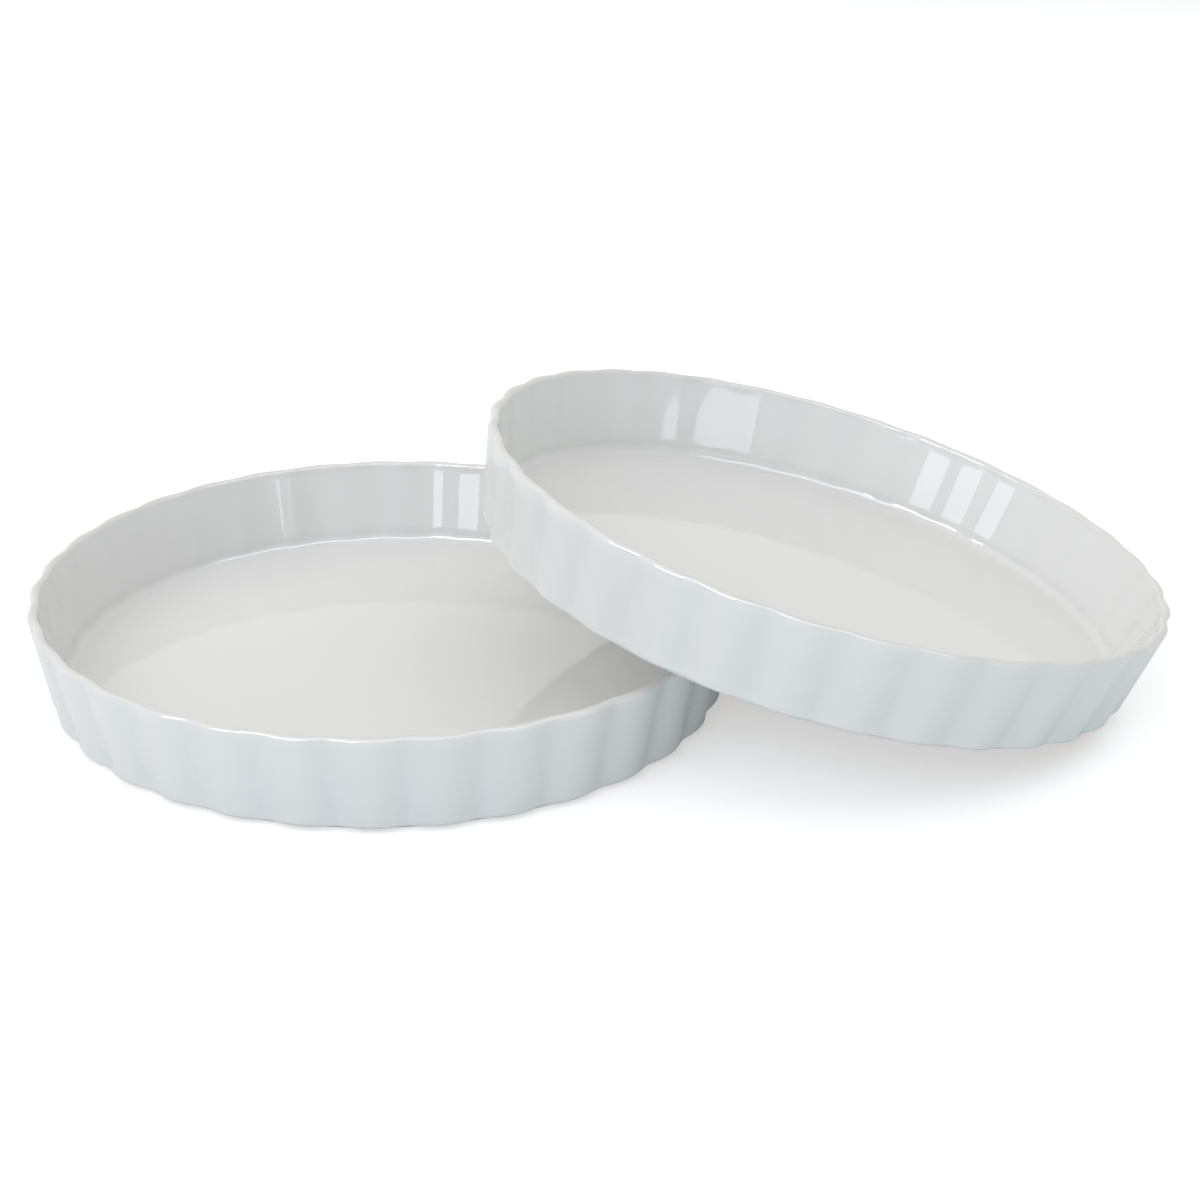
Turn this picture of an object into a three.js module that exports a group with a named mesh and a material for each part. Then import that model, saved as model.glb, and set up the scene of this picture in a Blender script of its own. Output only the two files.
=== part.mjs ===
// A matched pair of round fluted quiche dishes in white glazed porcelain.
// One stands flat on the table. The other leans on its rim: its underside rests on the
// rim of the flat dish and the edge of its foot ring stands on the table.
// Millimetres, +Z up. The flat dish and the leaning dish lie along X.
import * as THREE from 'three';

// Body of one dish, measured over the crests of the flutes.
const rimRadius = 133;
const dishHeight = 38;
const wallFlare = 6;
const rimThickness = 3.8;
const baseWallThickness = 4.6;
const floorThickness = 3.8;

// Flutes pressed into the wall: deepest at the foot of the outside, faint on the inside.
const fluteCount = 33;
const stepsPerFlute = 6;
const rimFluteDepth = 1.5;
const baseFluteDepth = 2.3;
const innerFluteDepth = 0.7;
const cornerFluteShare = 0.5;
const notchRound = 0.3;

// Edges and underside.
const baseCornerRadius = 2.4;
const floorFilletRadius = 4.5;
const footInset = 4.5;
const footWidth = 5.5;
const footHeight = 1.2;
const footEdge = 0.5;

// How the second dish leans on the first.
const lowEdgeStandoff = 143.5;
const seatGap = 0.3;

// Sizes that follow from the ones above.
const baseRadius = rimRadius - wallFlare;
const rimRound = rimThickness / 2;
const rimCentreRadius = rimRadius - rimRound;
const rimCentreHeight = dishHeight - rimRound;
const footOuterRadius = baseRadius - footInset;
const footInnerRadius = footOuterRadius - footWidth;
const floorHeight = footHeight + floorThickness;
const innerBaseRadius = baseRadius - baseWallThickness;
const rimTopFluteDepth = (rimFluteDepth + innerFluteDepth) / 2;

// Depth of the flute at a place across it, 1 in the notch and 0 on the broad crest.
// The crest is a wide arc and the notch a tight rounded valley.
function notchShare(place) {
  const across = Math.sin(Math.PI * place);
  const shallow = Math.sqrt(1 + notchRound * notchRound);
  const here = Math.sqrt(across * across + notchRound * notchRound);
  return (shallow - here) / (shallow - notchRound);
}

// Half section of the dish from the middle of the underside, out along the foot ring,
// up the outside, over the rim and down the inside to the middle of the floor.
function dishSection() {
  const section = [];
  const add = (radius, height, depth) => section.push({ radius, height, depth });

  // Glazed base, set up behind the bare foot ring.
  add(0, footHeight, 0);
  add(footInnerRadius - footEdge, footHeight, 0);
  add(footInnerRadius, 0, 0);
  add(footOuterRadius, 0, 0);
  add(footOuterRadius + footEdge, footHeight, 0);

  // Rounded lower corner, where the flutes begin.
  const cornerRadius = baseRadius - baseCornerRadius;
  const cornerHeight = footHeight + baseCornerRadius;
  for (const turn of [0, 0.5, 1]) {
    const angle = (turn * Math.PI) / 2;
    add(
      cornerRadius + baseCornerRadius * Math.sin(angle),
      cornerHeight - baseCornerRadius * Math.cos(angle),
      baseFluteDepth * (cornerFluteShare + (1 - cornerFluteShare) * turn),
    );
  }

  // Rounded rim, from the outside over the top to the inside.
  for (const turn of [0, 0.25, 0.5, 0.75, 1]) {
    const angle = turn * Math.PI;
    add(
      rimCentreRadius + rimRound * Math.cos(angle),
      rimCentreHeight + rimRound * Math.sin(angle),
      rimFluteDepth + (innerFluteDepth - rimFluteDepth) * turn,
    );
  }

  // Hollow fillet between the inside of the wall and the flat floor.
  const filletRadius = innerBaseRadius - floorFilletRadius;
  const filletHeight = floorHeight + floorFilletRadius;
  for (const turn of [0, 0.34, 0.67, 1]) {
    const angle = (turn * Math.PI) / 2;
    add(
      filletRadius + floorFilletRadius * Math.cos(angle),
      filletHeight - floorFilletRadius * Math.sin(angle),
      innerFluteDepth * (1 - turn),
    );
  }
  add(0, floorHeight, 0);
  return section;
}

// The section turned about the upright axis, then drawn inward along every notch.
// A notch faces +X.
function dishGeometry() {
  const section = dishSection();
  const profile = section.map((point) => new THREE.Vector2(point.radius, point.height));
  const steps = fluteCount * stepsPerFlute;
  const geometry = new THREE.LatheGeometry(profile, steps, Math.PI / 2);
  const position = geometry.attributes.position;
  for (let step = 0; step <= steps; step += 1) {
    const share = notchShare((step % stepsPerFlute) / stepsPerFlute);
    section.forEach((point, index) => {
      if (point.depth === 0) return;
      const vertex = step * section.length + index;
      const scale = (point.radius - point.depth * share) / point.radius;
      position.setX(vertex, position.getX(vertex) * scale);
      position.setZ(vertex, position.getZ(vertex) * scale);
    });
  }
  geometry.rotateX(Math.PI / 2);
  geometry.computeVertexNormals();
  return geometry;
}

// Farthest reach of the rim's centre line towards the leaning dish, over one flute.
function rimReach() {
  let reach = 0;
  for (let step = 0; step <= stepsPerFlute; step += 1) {
    const share = notchShare(step / stepsPerFlute);
    const angle = (2 * Math.PI * step) / (fluteCount * stepsPerFlute);
    reach = Math.max(reach, (rimCentreRadius - rimTopFluteDepth * share) * Math.cos(angle));
  }
  return reach;
}

function dishMesh(name) {
  const glaze = new THREE.MeshStandardMaterial({ color: 0xe4e4e1, roughness: 0.12, metalness: 0 });
  const mesh = new THREE.Mesh(dishGeometry(), glaze);
  mesh.name = name;
  return mesh;
}

const flatDish = dishMesh('flat_dish');
const leaningDish = dishMesh('leaning_dish');

// The leaning dish turns about the low edge of its foot ring until its recessed base
// lies on the rounded rim of the flat dish.
const lowEdgeReach = rimRadius + lowEdgeStandoff;
const acrossToRim = lowEdgeReach - rimReach();
const rimBelowBase = footHeight - rimRound - seatGap;
const alongBase = Math.sqrt(
  rimCentreHeight * rimCentreHeight + acrossToRim * acrossToRim - rimBelowBase * rimBelowBase,
);
const lean = Math.atan2(rimCentreHeight, acrossToRim) - Math.atan2(rimBelowBase, alongBase);
leaningDish.rotation.y = lean;
leaningDish.position.set(
  lowEdgeReach - footOuterRadius * Math.cos(lean),
  0,
  footOuterRadius * Math.sin(lean),
);

// The pair stands centred on its footprint on the table.
const pair = new THREE.Group();
pair.name = 'quiche_dish_pair';
pair.add(flatDish, leaningDish);
pair.updateMatrixWorld(true);
const footprint = new THREE.Box3().setFromObject(pair, true);
pair.position.x = -(footprint.min.x + footprint.max.x) / 2;
pair.updateMatrixWorld(true);

export default pair;
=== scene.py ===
import math
from collections import namedtuple

import bmesh
import bpy
from mathutils import Matrix, Vector


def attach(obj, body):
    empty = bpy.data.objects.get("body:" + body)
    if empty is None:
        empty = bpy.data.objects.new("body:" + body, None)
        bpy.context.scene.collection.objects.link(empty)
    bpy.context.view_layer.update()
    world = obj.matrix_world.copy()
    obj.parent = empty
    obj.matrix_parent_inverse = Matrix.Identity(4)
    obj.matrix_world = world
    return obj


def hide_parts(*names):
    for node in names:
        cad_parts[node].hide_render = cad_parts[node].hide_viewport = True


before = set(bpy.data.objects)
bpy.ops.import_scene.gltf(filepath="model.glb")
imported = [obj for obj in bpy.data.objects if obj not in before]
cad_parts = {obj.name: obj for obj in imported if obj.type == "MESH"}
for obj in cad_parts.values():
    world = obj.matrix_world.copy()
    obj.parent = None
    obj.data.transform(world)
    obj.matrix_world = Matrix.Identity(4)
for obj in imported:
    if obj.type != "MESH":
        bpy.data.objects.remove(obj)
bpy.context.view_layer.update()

bpy.ops.object.select_all(action="DESELECT")


# Flat quiche dish: a round baking dish pressed from white porcelain in a fluted mould and fired in a
# clear gloss glaze. Wall, rim, floor and foot ring are one piece. The flutes are deep at the foot of the
# outside and faint on the inside, where they fade into the smooth floor through a hollow fillet.
rim_radius = 0.133
dish_height = 0.038
wall_flare = 0.006
rim_thickness = 0.0038
base_wall_thickness = 0.0046
floor_thickness = 0.0038
corner_radius = 0.0024
fillet_radius = 0.0045
foot_inset = 0.0045
foot_width = 0.0055
foot_height = 0.0012
foot_edge = 0.0005

flute_count = 33
flute_columns = 16
flute_angle = 2 * math.pi / flute_count
rim_flute_depth = 0.0015
base_flute_depth = 0.0023
inner_flute_depth = 0.0007
inner_bow = 0.0003
corner_flute_share = 0.5
notch_round = 0.3

base_radius = rim_radius - wall_flare
rim_round = rim_thickness / 2
rim_centre = (rim_radius - rim_round, dish_height - rim_round)
foot_outer = base_radius - foot_inset
foot_inner = foot_outer - foot_width
floor_height = foot_height + floor_thickness
inner_base_radius = base_radius - base_wall_thickness
corner_centre = (base_radius - corner_radius, foot_height + corner_radius)
fillet_centre = (inner_base_radius - fillet_radius, floor_height + fillet_radius)
outer_top = (rim_centre[0] + rim_round, rim_centre[1])
inner_top = (rim_centre[0] - rim_round, rim_centre[1])
outer_foot = (base_radius, corner_centre[1])
inner_foot = (inner_base_radius, fillet_centre[1])
rim_top_depth = 0.5 * (rim_flute_depth + inner_flute_depth)
corner_depths = (corner_flute_share * base_flute_depth, base_flute_depth)

# Rings across the flat base and the flat floor, and steps in the rounded parts and up the walls.
base_ring_radii = (0.0, 0.05, 0.09, foot_inner - 6 * foot_edge)
floor_ring_radii = (0.112, 0.09, 0.05, 0.0)
foot_edge_steps = 3
corner_steps = 6
outer_wall_steps = 8
half_rim_steps = 6
inner_wall_steps = 12
fillet_steps = 8

# The half section, as rings with the depth of the flutes there, the share of thin glaze and painted shade
# on the rim, and the share of pooled glaze.
Ring = namedtuple("Ring", "radius height depth thin pool")
section = []


def add_ring(radius, height, depth=0.0, thin=0.0, pool=0.0):
    section.append(Ring(radius, height, depth, thin, pool))


def add_arc(centre, radius, start, end, steps, depths, thins_and_shades=(0.0, 0.0)):
    for step in range(steps + 1):
        share = step / steps
        angle = math.radians(start + (end - start) * share)
        ramps = [low + (high - low) * share for low, high in (depths, thins_and_shades)]
        add_ring(centre[0] + radius * math.cos(angle), centre[1] + radius * math.sin(angle), *ramps)


def add_wall(start, end, steps, depths, bow=0.0):
    for step in range(1, steps):
        share = step / steps
        add_ring(
            start[0] + (end[0] - start[0]) * share + 4 * bow * share * (1 - share),
            start[1] + (end[1] - start[1]) * share,
            depths[0] + (depths[1] - depths[0]) * share,
        )


# From the middle of the base out along the foot ring, up the outside, over the rim and down the inside.
# The two halves of the rim share their top ring, so the first one gives it up.
for radius in base_ring_radii:
    add_ring(radius, foot_height)
add_ring(foot_inner - foot_edge, foot_height, pool=1.0)
add_arc((foot_inner + foot_edge, foot_edge), foot_edge, 180, 270, foot_edge_steps, (0.0, 0.0))
add_arc((foot_outer - foot_edge, foot_edge), foot_edge, 270, 360, foot_edge_steps, (0.0, 0.0))
add_ring(foot_outer + foot_edge, foot_height, pool=1.0)
add_arc(corner_centre, corner_radius, -90, 0, corner_steps, corner_depths)
add_wall(outer_foot, outer_top, outer_wall_steps, (base_flute_depth, rim_flute_depth))
# Over the rim the share of thin glaze rises, and with it the rim's painted shade.
add_arc(rim_centre, rim_round, 0, 90, half_rim_steps, (rim_flute_depth, rim_top_depth), (0.0, 1.0))
section.pop()
add_arc(rim_centre, rim_round, 90, 180, half_rim_steps, (rim_top_depth, inner_flute_depth), (1.0, 0.0))
add_wall(inner_top, inner_foot, inner_wall_steps, (inner_flute_depth, inner_flute_depth), inner_bow)
add_arc(fillet_centre, fillet_radius, 0, -90, fillet_steps, (inner_flute_depth, 0.0))
for radius in floor_ring_radii:
    add_ring(radius, floor_height)


def notch_share(column):
    """Depth of the flute at one of its columns: 1 in the tight notch, 0 on the broad crest."""
    across = math.sin(math.pi * column / flute_columns)
    crest = math.hypot(1.0, notch_round)
    return (crest - math.hypot(across, notch_round)) / (crest - notch_round)


# One flute is drawn from a point as a section, spun through its angle, pressed in at the notches and then
# repeated round the wall.
pole_gap = 1e-7
seam_gap = 2e-5
bpy.ops.mesh.primitive_plane_add(size=0.001, location=(0, 0, 0))
flat_dish = bpy.context.object
flat_dish.name = flat_dish.data.name = "flat_quiche_dish"
bpy.ops.object.mode_set(mode="EDIT")
bpy.ops.mesh.select_all(action="SELECT")
bpy.ops.mesh.merge(type="CENTER")
bpy.ops.transform.translate(value=(section[0].radius, 0, section[0].height))
for before, after in zip(section, section[1:]):
    stride = (after.radius - before.radius, 0, after.height - before.height)
    bpy.ops.mesh.extrude_vertices_move(TRANSFORM_OT_translate={"value": stride})
bpy.ops.mesh.select_all(action="SELECT")
bpy.ops.mesh.spin(steps=flute_columns, angle=flute_angle, center=(0, 0, 0), axis=(0, 0, 1))
bpy.ops.mesh.select_all(action="SELECT")
bpy.ops.mesh.remove_doubles(threshold=pole_gap)

flute = bmesh.from_edit_mesh(flat_dish.data)
# The thin glaze share also carries the rim's painted shade.
thin_glaze_and_rim_shade = flute.verts.layers.float.new("thin_glaze_and_rim_shade")
pooled_glaze = flute.verts.layers.float.new("pooled_glaze")
places = {}
for vertex in flute.verts:
    radius = math.hypot(vertex.co.x, vertex.co.y)
    gaps = [abs(radius - ring.radius) + abs(vertex.co.z - ring.height) for ring in section]
    ring = section[gaps.index(min(gaps))]
    column = round(abs(math.atan2(vertex.co.y, vertex.co.x)) / flute_angle * flute_columns)
    wall_pool = notch_share(column) * ring.depth / base_flute_depth
    vertex[thin_glaze_and_rim_shade] = ring.thin
    vertex[pooled_glaze] = max(ring.pool, wall_pool)
    places.setdefault((ring, min(column, flute_columns - column)), []).append(vertex)
for (ring, column), vertices in places.items():
    pressed = ring.depth * notch_share(column)
    if pressed > 0:
        bpy.ops.mesh.select_all(action="DESELECT")
        for vertex in vertices:
            vertex.select = True
        flute.select_flush_mode()
        scale = (ring.radius - pressed) / ring.radius
        bpy.ops.transform.resize(value=(scale, scale, 1), center_override=(0, 0, 0))
bpy.ops.object.mode_set(mode="OBJECT")

bpy.ops.object.empty_add(rotation=(0, 0, flute_angle))
next_flute = bpy.context.object
bpy.ops.object.select_all(action="DESELECT")
flat_dish.select_set(True)
bpy.context.view_layer.objects.active = flat_dish
flutes = flat_dish.modifiers.new("flutes_round_the_wall", "ARRAY")
flutes.count = flute_count
flutes.use_relative_offset = False
flutes.use_object_offset = True
flutes.offset_object = next_flute
flutes.use_merge_vertices = True
flutes.use_merge_vertices_cap = True
flutes.merge_threshold = seam_gap
bpy.ops.object.modifier_apply(modifier=flutes.name)
bpy.data.objects.remove(next_flute)
bpy.ops.object.mode_set(mode="EDIT")
bpy.ops.mesh.select_all(action="SELECT")
bpy.ops.mesh.remove_doubles(threshold=seam_gap)
bpy.ops.mesh.normals_make_consistent(inside=False)
bpy.ops.object.mode_set(mode="OBJECT")
bpy.ops.object.shade_smooth()


# Firing leaves a faint cloudy tone in porcelain, and both the glaze and the bare clay carry it. The group
# gives that tone as a colour and as a value, and an unevenness for the surface.
def new_group(name, inputs, outputs):
    group = bpy.data.node_groups.new(name, "ShaderNodeTree")
    for label, kind, value in inputs:
        socket = group.interface.new_socket(label, in_out="INPUT", socket_type=kind)
        socket.default_value = value
    for label, kind in outputs:
        group.interface.new_socket(label, in_out="OUTPUT", socket_type=kind)
    return group, group.nodes.new("NodeGroupInput"), group.nodes.new("NodeGroupOutput")


kiln_tone, tone_in, tone_out = new_group(
    "kiln_tone",
    [
        ("Light tone", "NodeSocketColor", (1, 1, 1, 1)),
        ("Dark tone", "NodeSocketColor", (0.9, 0.9, 0.9, 1)),
        ("Cloud scale", "NodeSocketFloat", 20.0),
        ("Ripple scale", "NodeSocketFloat", 60.0),
    ],
    [("Color", "NodeSocketColor"), ("Height", "NodeSocketFloat"), ("Cloud", "NodeSocketFloat")],
)
tone_place = kiln_tone.nodes.new("ShaderNodeTexCoord")
clouds = kiln_tone.nodes.new("ShaderNodeTexNoise")
clouds.inputs["Detail"].default_value = 3.0
ripple = kiln_tone.nodes.new("ShaderNodeTexNoise")
ripple.inputs["Detail"].default_value = 1.0
tones = kiln_tone.nodes.new("ShaderNodeMix")
tones.data_type = "RGBA"
kiln_tone.links.new(tone_place.outputs["Object"], clouds.inputs["Vector"])
kiln_tone.links.new(tone_place.outputs["Object"], ripple.inputs["Vector"])
kiln_tone.links.new(tone_in.outputs["Cloud scale"], clouds.inputs["Scale"])
kiln_tone.links.new(tone_in.outputs["Ripple scale"], ripple.inputs["Scale"])
kiln_tone.links.new(clouds.outputs["Fac"], tones.inputs["Factor"])
kiln_tone.links.new(tone_in.outputs["Light tone"], tones.inputs["A"])
kiln_tone.links.new(tone_in.outputs["Dark tone"], tones.inputs["B"])
kiln_tone.links.new(tones.outputs["Result"], tone_out.inputs["Color"])
kiln_tone.links.new(ripple.outputs["Fac"], tone_out.inputs["Height"])
kiln_tone.links.new(clouds.outputs["Fac"], tone_out.inputs["Cloud"])


# Clear gloss glaze over white porcelain. It is thin and a little warm on the rim, and the rim's colour is
# darkened too, as painted shade against the light on its top. It pools slightly deeper and cooler in the
# notches and beside the foot ring. Its skin is smooth, with a slow unevenness.
glaze = bpy.data.materials.new("white_gloss_glaze")
glaze.use_nodes = True
nodes = glaze.node_tree.nodes
links = glaze.node_tree.links
glaze_shader = nodes["Principled BSDF"]
glaze_shader.inputs["IOR"].default_value = 1.52
body_tone = nodes.new("ShaderNodeGroup")
body_tone.node_tree = kiln_tone
body_tone.inputs["Light tone"].default_value = (0.80, 0.797, 0.785, 1)
body_tone.inputs["Dark tone"].default_value = (0.765, 0.765, 0.755, 1)
body_tone.inputs["Cloud scale"].default_value = 18.0
body_tone.inputs["Ripple scale"].default_value = 42.0
rim_mask = nodes.new("ShaderNodeAttribute")
rim_mask.attribute_name = "thin_glaze_and_rim_shade"
pool_mask = nodes.new("ShaderNodeAttribute")
pool_mask.attribute_name = "pooled_glaze"
rim_share = nodes.new("ShaderNodeMath")
rim_share.operation = "MULTIPLY"
rim_share.inputs[1].default_value = 0.85
pool_share = nodes.new("ShaderNodeMath")
pool_share.operation = "MULTIPLY"
pool_share.inputs[1].default_value = 0.35
# The rim's tone is warm for its thin glaze, and darker as painted shade against the light on its top.
rim_tone_and_painted_shade = nodes.new("ShaderNodeMix")
rim_tone_and_painted_shade.data_type = "RGBA"
rim_tone_and_painted_shade.inputs["B"].default_value = (0.70, 0.675, 0.65, 1)
pool_tone = nodes.new("ShaderNodeMix")
pool_tone.data_type = "RGBA"
pool_tone.inputs["B"].default_value = (0.72, 0.74, 0.745, 1)
gloss = nodes.new("ShaderNodeMapRange")
gloss.inputs["To Min"].default_value = 0.015
gloss.inputs["To Max"].default_value = 0.03
skin = nodes.new("ShaderNodeBump")
skin.inputs["Strength"].default_value = 0.12
skin.inputs["Distance"].default_value = 0.0006
links.new(rim_mask.outputs["Fac"], rim_share.inputs[0])
links.new(pool_mask.outputs["Fac"], pool_share.inputs[0])
links.new(body_tone.outputs["Color"], pool_tone.inputs["A"])
links.new(pool_share.outputs["Value"], pool_tone.inputs["Factor"])
links.new(pool_tone.outputs["Result"], rim_tone_and_painted_shade.inputs["A"])
links.new(rim_share.outputs["Value"], rim_tone_and_painted_shade.inputs["Factor"])
links.new(rim_tone_and_painted_shade.outputs["Result"], glaze_shader.inputs["Base Color"])
links.new(body_tone.outputs["Cloud"], gloss.inputs["Value"])
links.new(gloss.outputs["Result"], glaze_shader.inputs["Roughness"])
links.new(body_tone.outputs["Height"], skin.inputs["Height"])
links.new(skin.outputs["Normal"], glaze_shader.inputs["Normal"])


# Bare foot: the ring that the dish stood on in the kiln was wiped clean of glaze, so the fired clay shows
# there, matt and faintly sandy, a little warmer than the glazed body.
bare_clay = bpy.data.materials.new("bare_fired_clay")
bare_clay.use_nodes = True
nodes = bare_clay.node_tree.nodes
links = bare_clay.node_tree.links
clay_shader = nodes["Principled BSDF"]
clay_shader.inputs["Roughness"].default_value = 0.85
clay_tone = nodes.new("ShaderNodeGroup")
clay_tone.node_tree = kiln_tone
clay_tone.inputs["Light tone"].default_value = (0.70, 0.66, 0.60, 1)
clay_tone.inputs["Dark tone"].default_value = (0.58, 0.54, 0.48, 1)
clay_tone.inputs["Cloud scale"].default_value = 260.0
clay_tone.inputs["Ripple scale"].default_value = 1800.0
clay_grain = nodes.new("ShaderNodeBump")
clay_grain.inputs["Strength"].default_value = 0.5
clay_grain.inputs["Distance"].default_value = 0.0002
links.new(clay_tone.outputs["Color"], clay_shader.inputs["Base Color"])
links.new(clay_tone.outputs["Height"], clay_grain.inputs["Height"])
links.new(clay_grain.outputs["Normal"], clay_shader.inputs["Normal"])

flat_dish.data.materials.append(glaze)
flat_dish.data.materials.append(bare_clay)
glaze_line = 0.25 * foot_height
for face in flat_dish.data.polygons:
    face.material_index = 1 if face.center.z < glaze_line else 0


# Leaning dish: a second dish from the same mould. It leans on the first: its base lies on that rim, and
# the low edge of its foot ring stands on the table.
same_area = 0.995


def floor_of(node):
    """Centre and upward normal of a dish's flat floor, from the largest faces of its solid."""
    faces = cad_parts[node].data.polygons
    widest = max(face.area for face in faces)
    floor = [face for face in faces if face.area > same_area * widest]
    centre = sum((face.center for face in floor), Vector()) / len(floor)
    return centre, floor[0].normal.copy()


leaning_dish = flat_dish.copy()
leaning_dish.data = flat_dish.data.copy()
leaning_dish.name = leaning_dish.data.name = "leaning_quiche_dish"
bpy.context.scene.collection.objects.link(leaning_dish)
floor_up = Vector((0, 0, floor_height))
for dish, node in ((flat_dish, "flat_dish"), (leaning_dish, "leaning_dish")):
    centre, normal = floor_of(node)
    lean = Vector((0, 0, 1)).rotation_difference(normal)
    dish.rotation_mode = "QUATERNION"
    dish.rotation_quaternion = lean
    dish.location = centre - lean @ floor_up
    bpy.ops.object.select_all(action="DESELECT")
    dish.select_set(True)
    bpy.context.view_layer.objects.active = dish
    bpy.ops.object.transform_apply(location=True, rotation=True, scale=True)
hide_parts("flat_dish")
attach(flat_dish, "flat_dish")
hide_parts("leaning_dish")
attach(leaning_dish, "leaning_dish")


# Table top: a plain pale studio floor. It takes a soft shadow, and its own paleness lifts it to white.
bpy.ops.mesh.primitive_plane_add(size=8.0, location=(0, 0, 0))
table_top = bpy.context.object
table_top.name = "table_top"
table_paint = bpy.data.materials.new("pale_table")
table_paint.use_nodes = True
nodes = table_paint.node_tree.nodes
links = table_paint.node_tree.links
nodes.remove(nodes["Principled BSDF"])
table_diffuse = nodes.new("ShaderNodeBsdfDiffuse")
table_diffuse.inputs["Color"].default_value = (0.76, 0.8, 0.82, 1)
table_glow = nodes.new("ShaderNodeEmission")
table_glow.inputs["Color"].default_value = (1.0, 0.95, 0.925, 1)
table_sum = nodes.new("ShaderNodeAddShader")
table_rays = nodes.new("ShaderNodeLightPath")
mirrored = nodes.new("ShaderNodeMath")
mirrored.operation = "MAXIMUM"
mirrored_level = nodes.new("ShaderNodeMath")
mirrored_level.operation = "MULTIPLY"
mirrored_level.inputs[1].default_value = 0.15
glow_level = nodes.new("ShaderNodeMath")
glow_level.operation = "MULTIPLY_ADD"
glow_level.inputs[1].default_value = 0.47
links.new(table_rays.outputs["Is Glossy Ray"], mirrored.inputs[0])
links.new(table_rays.outputs["Is Transmission Ray"], mirrored.inputs[1])
links.new(mirrored.outputs["Value"], mirrored_level.inputs[0])
links.new(table_rays.outputs["Is Camera Ray"], glow_level.inputs[0])
links.new(mirrored_level.outputs["Value"], glow_level.inputs[2])
links.new(glow_level.outputs["Value"], table_glow.inputs["Strength"])
links.new(table_diffuse.outputs["BSDF"], table_sum.inputs[0])
links.new(table_glow.outputs["Emission"], table_sum.inputs[1])
links.new(table_sum.outputs["Shader"], nodes["Material Output"].inputs["Surface"])
table_top.data.materials.append(table_paint)


# Studio light: a pale room with broad soft boxes. The window panes are only mirrored in the glaze, as
# the long bars on the inner walls and the bright dashes along the rims.
room = bpy.data.worlds.new("pale_room")
bpy.context.scene.world = room
room.use_nodes = True
nodes = room.node_tree.nodes
links = room.node_tree.links
room_light = nodes["Background"]
room_light.inputs["Color"].default_value = (0.994, 1.0, 1.0, 1)
room_rays = nodes.new("ShaderNodeLightPath")
room_seen = nodes.new("ShaderNodeMath")
room_seen.operation = "MAXIMUM"
room_seen_anyhow = nodes.new("ShaderNodeMath")
room_seen_anyhow.operation = "MAXIMUM"
room_level = nodes.new("ShaderNodeMapRange")
room_level.inputs["To Min"].default_value = 0.525
room_level.inputs["To Max"].default_value = 0.93
links.new(room_rays.outputs["Is Camera Ray"], room_seen.inputs[0])
links.new(room_rays.outputs["Is Glossy Ray"], room_seen.inputs[1])
links.new(room_seen.outputs["Value"], room_seen_anyhow.inputs[0])
links.new(room_rays.outputs["Is Transmission Ray"], room_seen_anyhow.inputs[1])
links.new(room_seen_anyhow.outputs["Value"], room_level.inputs["Value"])
links.new(room_level.outputs["Result"], room_light.inputs["Strength"])


def soft_box(name, place, target, width, height, watts, colour):
    light = bpy.data.lights.new(name, "AREA")
    light.shape = "RECTANGLE"
    light.size = width
    light.size_y = height
    light.energy = watts
    light.color = colour
    lamp = bpy.data.objects.new(name, light)
    lamp.location = place
    lamp.rotation_mode = "QUATERNION"
    lamp.rotation_quaternion = (Vector(target) - Vector(place)).to_track_quat("-Z", "Y")
    lamp.visible_camera = False
    bpy.context.scene.collection.objects.link(lamp)
    return lamp


cool = (0.95, 0.99, 1.13)
cool_green = (0.9, 1.03, 1.12)
green = (0.84, 1.07, 1.02)
warm = (1.025, 1.0, 0.955)
neutral = (1.0, 1.0, 1.0)
middle = (0, 0, 0.03)

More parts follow.
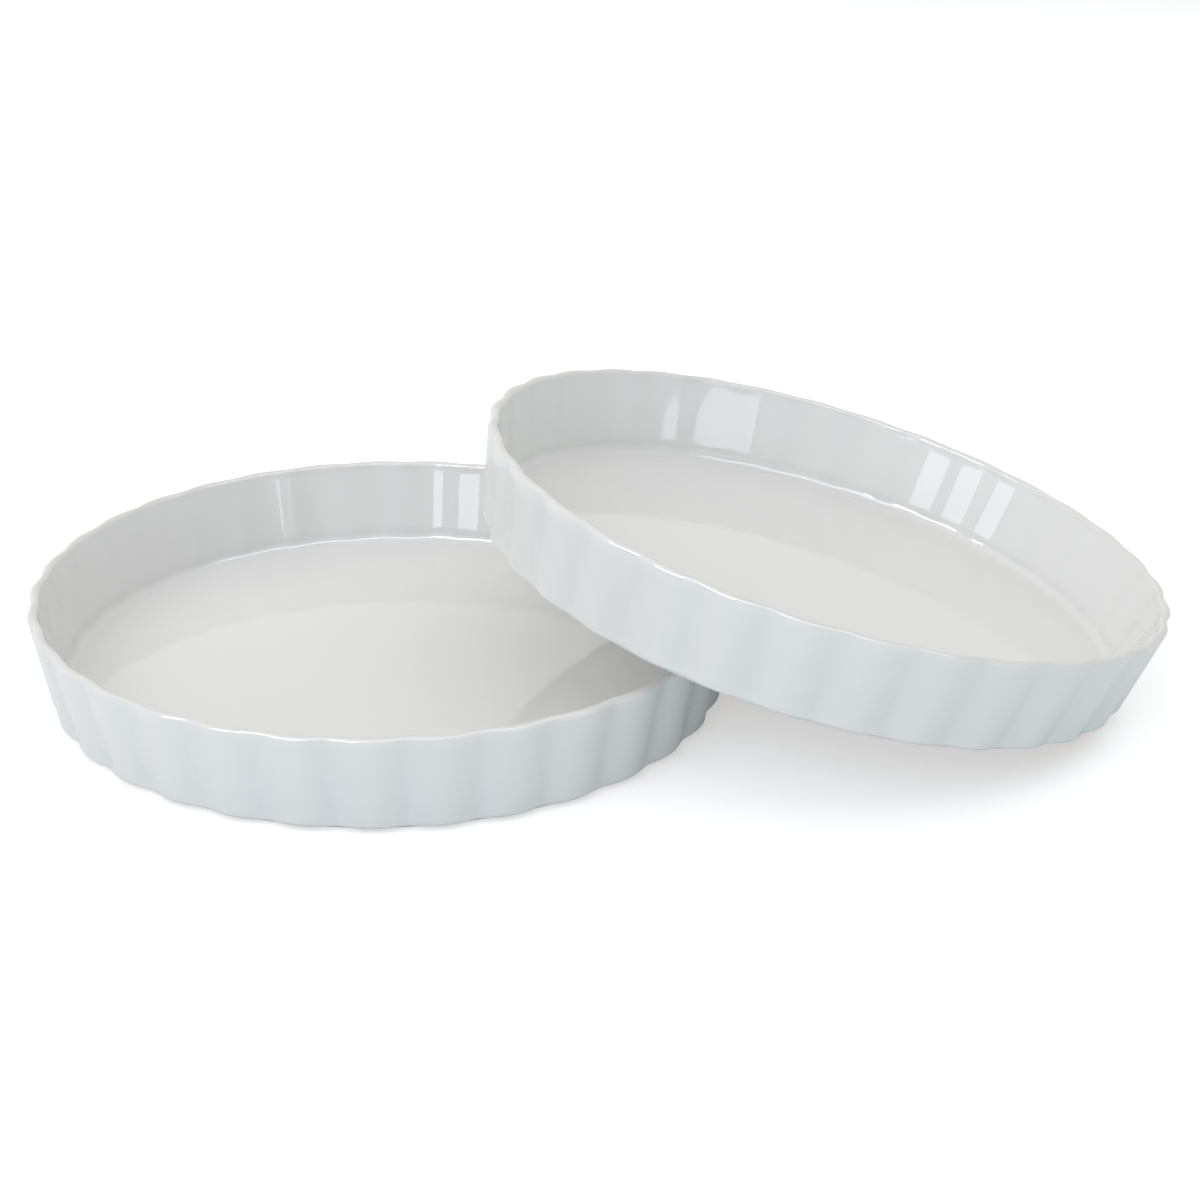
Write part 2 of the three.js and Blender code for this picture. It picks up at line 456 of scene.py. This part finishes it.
# The overhead box also shows in the glaze. The other boxes light the dishes without being mirrored.
soft_box("overhead_box", (-0.7, 0, 1.4), middle, 1.9, 1.9, 7.0, warm)
for name, place, width, height, watts, colour in (
    ("overhead_right_box", (0.6, 0.1, 1.4), 1.2, 1.2, 2.6, neutral),
    ("front_left_box", (-0.9, -1.1, 0.9), 0.9, 0.9, 4.7, cool),
    ("left_box", (-1.5, 0.3, 0.55), 0.9, 0.8, 1.2, warm),
    ("left_low_box", (-1.4, -0.2, 0.14), 0.7, 0.2, 0.6, neutral),
    ("front_low_box", (-0.1, -1.5, 0.26), 1.8, 0.4, 1.7, cool_green),
    ("right_low_box", (0.8, -1.15, 0.07), 0.8, 0.12, 1.25, green),
    ("back_left_box", (-0.8, 1.2, 0.8), 0.9, 0.9, 2.6, warm),
    ("back_right_box", (1.2, 0.9, 0.8), 0.9, 0.9, 2.5, neutral),
):
    broad_box = soft_box(name, place, middle, width, height, watts, colour)
    broad_box.visible_glossy = False

# A pane shows in the first mirror a ray meets, and not in a mirror of that mirror.
one_mirror_depth = 2.5
for name, place, target, width, height, watts in (
    ("left_pane", (-1.189, -0.731, 0.711), (0.15, 0.09, 0.06), 0.69, 0.205, 1.25),
    ("front_pane", (-0.644, -1.363, 0.24), (-0.045, 0.12, 0.03), 0.256, 0.28, 0.8),
    ("right_pane", (0.919, -1.102, 0.147), (0.06, 0.124, 0.055), 0.66, 0.27, 1.2),
    ("high_pane", (-0.89, -0.8, 1.1), (0, 0, 0.04), 1.0, 0.5, 19.0),
    ("ceiling_pane", (0.25, -0.5, 1.3), (-0.05, 0.12, 0), 2.0, 0.42, 13.0),
):
    pane = soft_box(name, place, target, width, height, watts, cool)
    pane.visible_diffuse = False
    pane.data.use_nodes = True
    nodes = pane.data.node_tree.nodes
    links = pane.data.node_tree.links
    pane_rays = nodes.new("ShaderNodeLightPath")
    pane_seen = nodes.new("ShaderNodeMath")
    pane_seen.operation = "LESS_THAN"
    pane_seen.inputs[1].default_value = one_mirror_depth
    links.new(pane_rays.outputs["Ray Depth"], pane_seen.inputs[0])
    links.new(pane_seen.outputs["Value"], nodes["Emission"].inputs["Strength"])


# Camera at the photograph's viewing angle: 0.78 m in front of the middle of the pair and 0.37 m up.
camera_data = bpy.data.cameras.new("camera")
camera_data.sensor_width = 36.0
camera_data.lens = 67.37
camera = bpy.data.objects.new("camera", camera_data)
bpy.context.scene.collection.objects.link(camera)
camera_place = Vector((-0.070164, -0.783019, 0.370014))
camera_pan = math.radians(5.051)
camera_tilt = math.radians(23.516)
camera_roll = math.radians(0.803)
camera.matrix_world = (
    Matrix.Translation(camera_place)
    @ Matrix.Rotation(-camera_pan, 4, "Z")
    @ Matrix.Rotation(math.pi / 2 - camera_tilt, 4, "X")
    @ Matrix.Rotation(camera_roll, 4, "Z")
)
bpy.context.scene.camera = camera
bpy.context.scene.view_settings.view_transform = "Standard"
